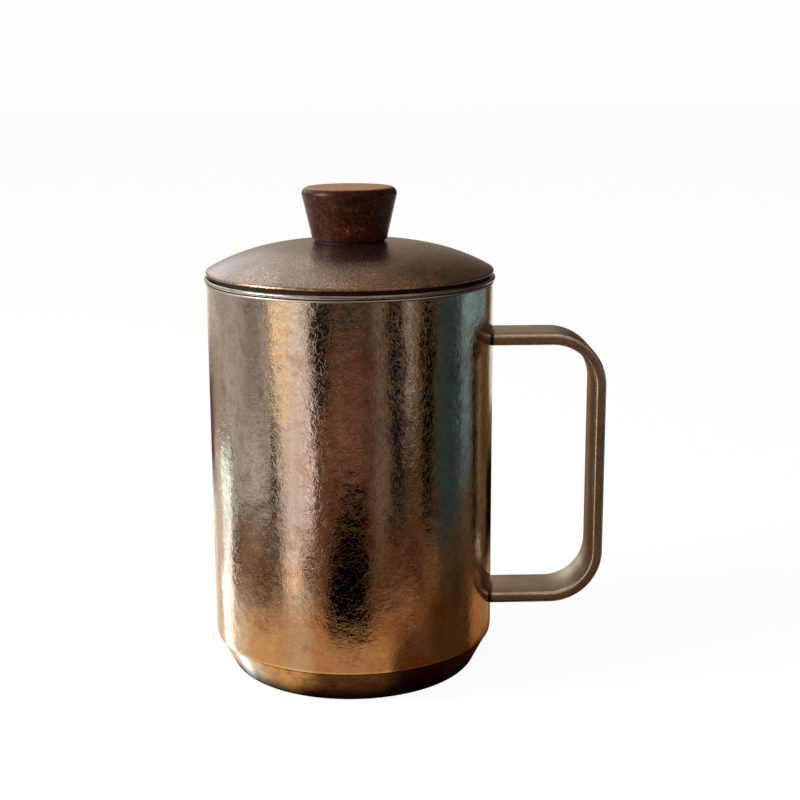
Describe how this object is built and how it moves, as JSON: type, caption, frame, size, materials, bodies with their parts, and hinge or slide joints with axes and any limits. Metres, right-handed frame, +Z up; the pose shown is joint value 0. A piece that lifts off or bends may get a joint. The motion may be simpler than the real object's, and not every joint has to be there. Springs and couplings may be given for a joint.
{
  "type": "lidded tea mug with infuser",
  "caption": "Tall double-walled metal tea mug with flat-strap handle, lift-out perforated infuser, loose domed lid and turned wooden knob.",
  "frame": {"origin": "on the mug's axis in the plane of its flat foot", "axes": "+Z up along the mug's axis, +X towards the handle, +Y to the side"},
  "size_m": [0.115, 0.083, 0.1407],
  "materials": {
    "crinkled_steel": "polished with a fine shallow crinkle, warm bronze tint",
    "cap_steel": "polished, warm bronze tint",
    "liner_steel": "fine satin",
    "handle_steel": "smooth satin, grey-brown tint",
    "rim_steel": "polished",
    "basket_steel": "fine satin, perforated",
    "lid_bronze": "fine-grained satin, bronze-brown tint",
    "skirt_steel": "fine satin",
    "seal_silicone": "matte",
    "knob_wood": "oiled dark walnut",
    "gasket_silicone": "matte",
    "insert_brass": "turned",
    "fastener_steel": "bright"
  },
  "bodies": {
    "mug": {"outer_shell": "crinkled_steel", "base_cap": "cap_steel", "inner_liner": "liner_steel", "handle_strap": "handle_steel"},
    "infuser": {"infuser_rim": "rim_steel", "infuser_wall": "basket_steel", "infuser_floor": "basket_steel"},
    "lid": {"lid_dome": "lid_bronze", "lid_skirt": "skirt_steel", "lid_seal": "seal_silicone", "knob": "knob_wood", "knob_gasket": "gasket_silicone", "knob_insert": "insert_brass", "knob_washer": "fastener_steel", "knob_screw": "fastener_steel"}
  },
  "joints": [
    {"name": "infuser_lift", "type": "slide", "parent": "mug", "child": "infuser", "axis": [0, 0, 1], "range_m": [0, 0.1]},
    {"name": "lid_lift", "type": "slide", "parent": "infuser", "child": "lid", "axis": [0, 0, 1], "range_m": [0, 0.04]}
  ]
}
